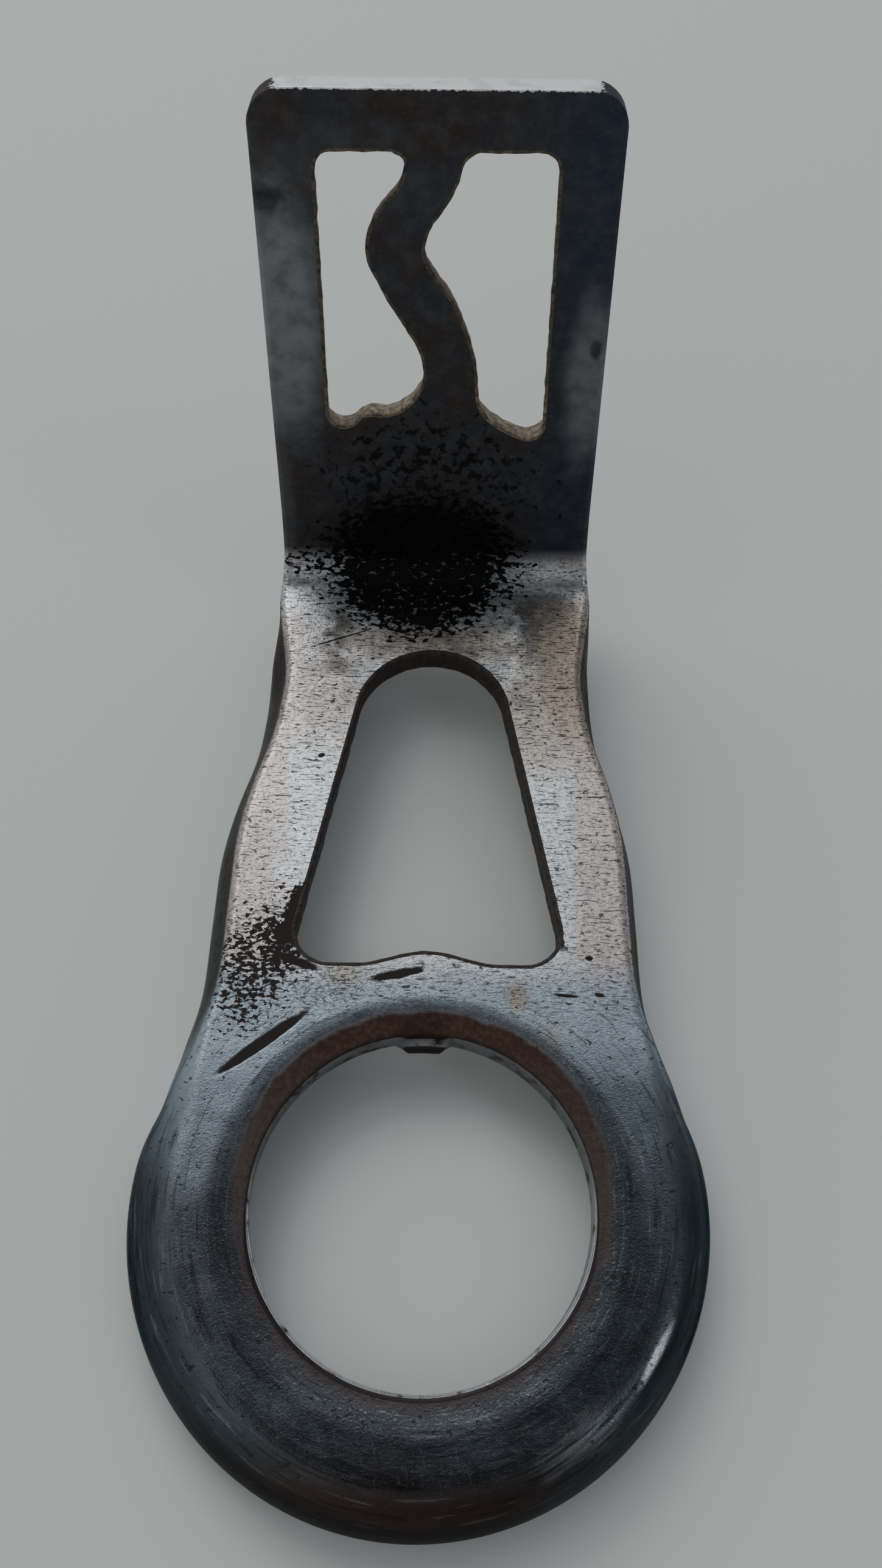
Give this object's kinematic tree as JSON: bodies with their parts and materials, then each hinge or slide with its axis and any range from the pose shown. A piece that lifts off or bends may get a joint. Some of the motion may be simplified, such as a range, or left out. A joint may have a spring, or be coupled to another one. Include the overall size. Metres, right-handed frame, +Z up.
{
  "type": "bottle opener",
  "caption": "Pressed steel opener in one piece: a dished ring with a small tooth, a channel neck with a tapered cap opening, and an upturned plate with a strutted window.",
  "frame": {"origin": "under the middle of the bounding box, on the surface that the flange's rim stands on", "axes": "+Z up from that surface, +Y from the ring towards the upturned end plate, X across the sheet"},
  "size_m": [0.0446, 0.0944, 0.0486],
  "materials": {
    "worn_plating": "worn bright plating on steel: scratched and pitted, flaked to brown at the cut edges, tarnished almost black on the end plate and the bend"
  },
  "bodies": {
    "root": {"pressed_body": "worn_plating"}
  },
  "joints": []
}
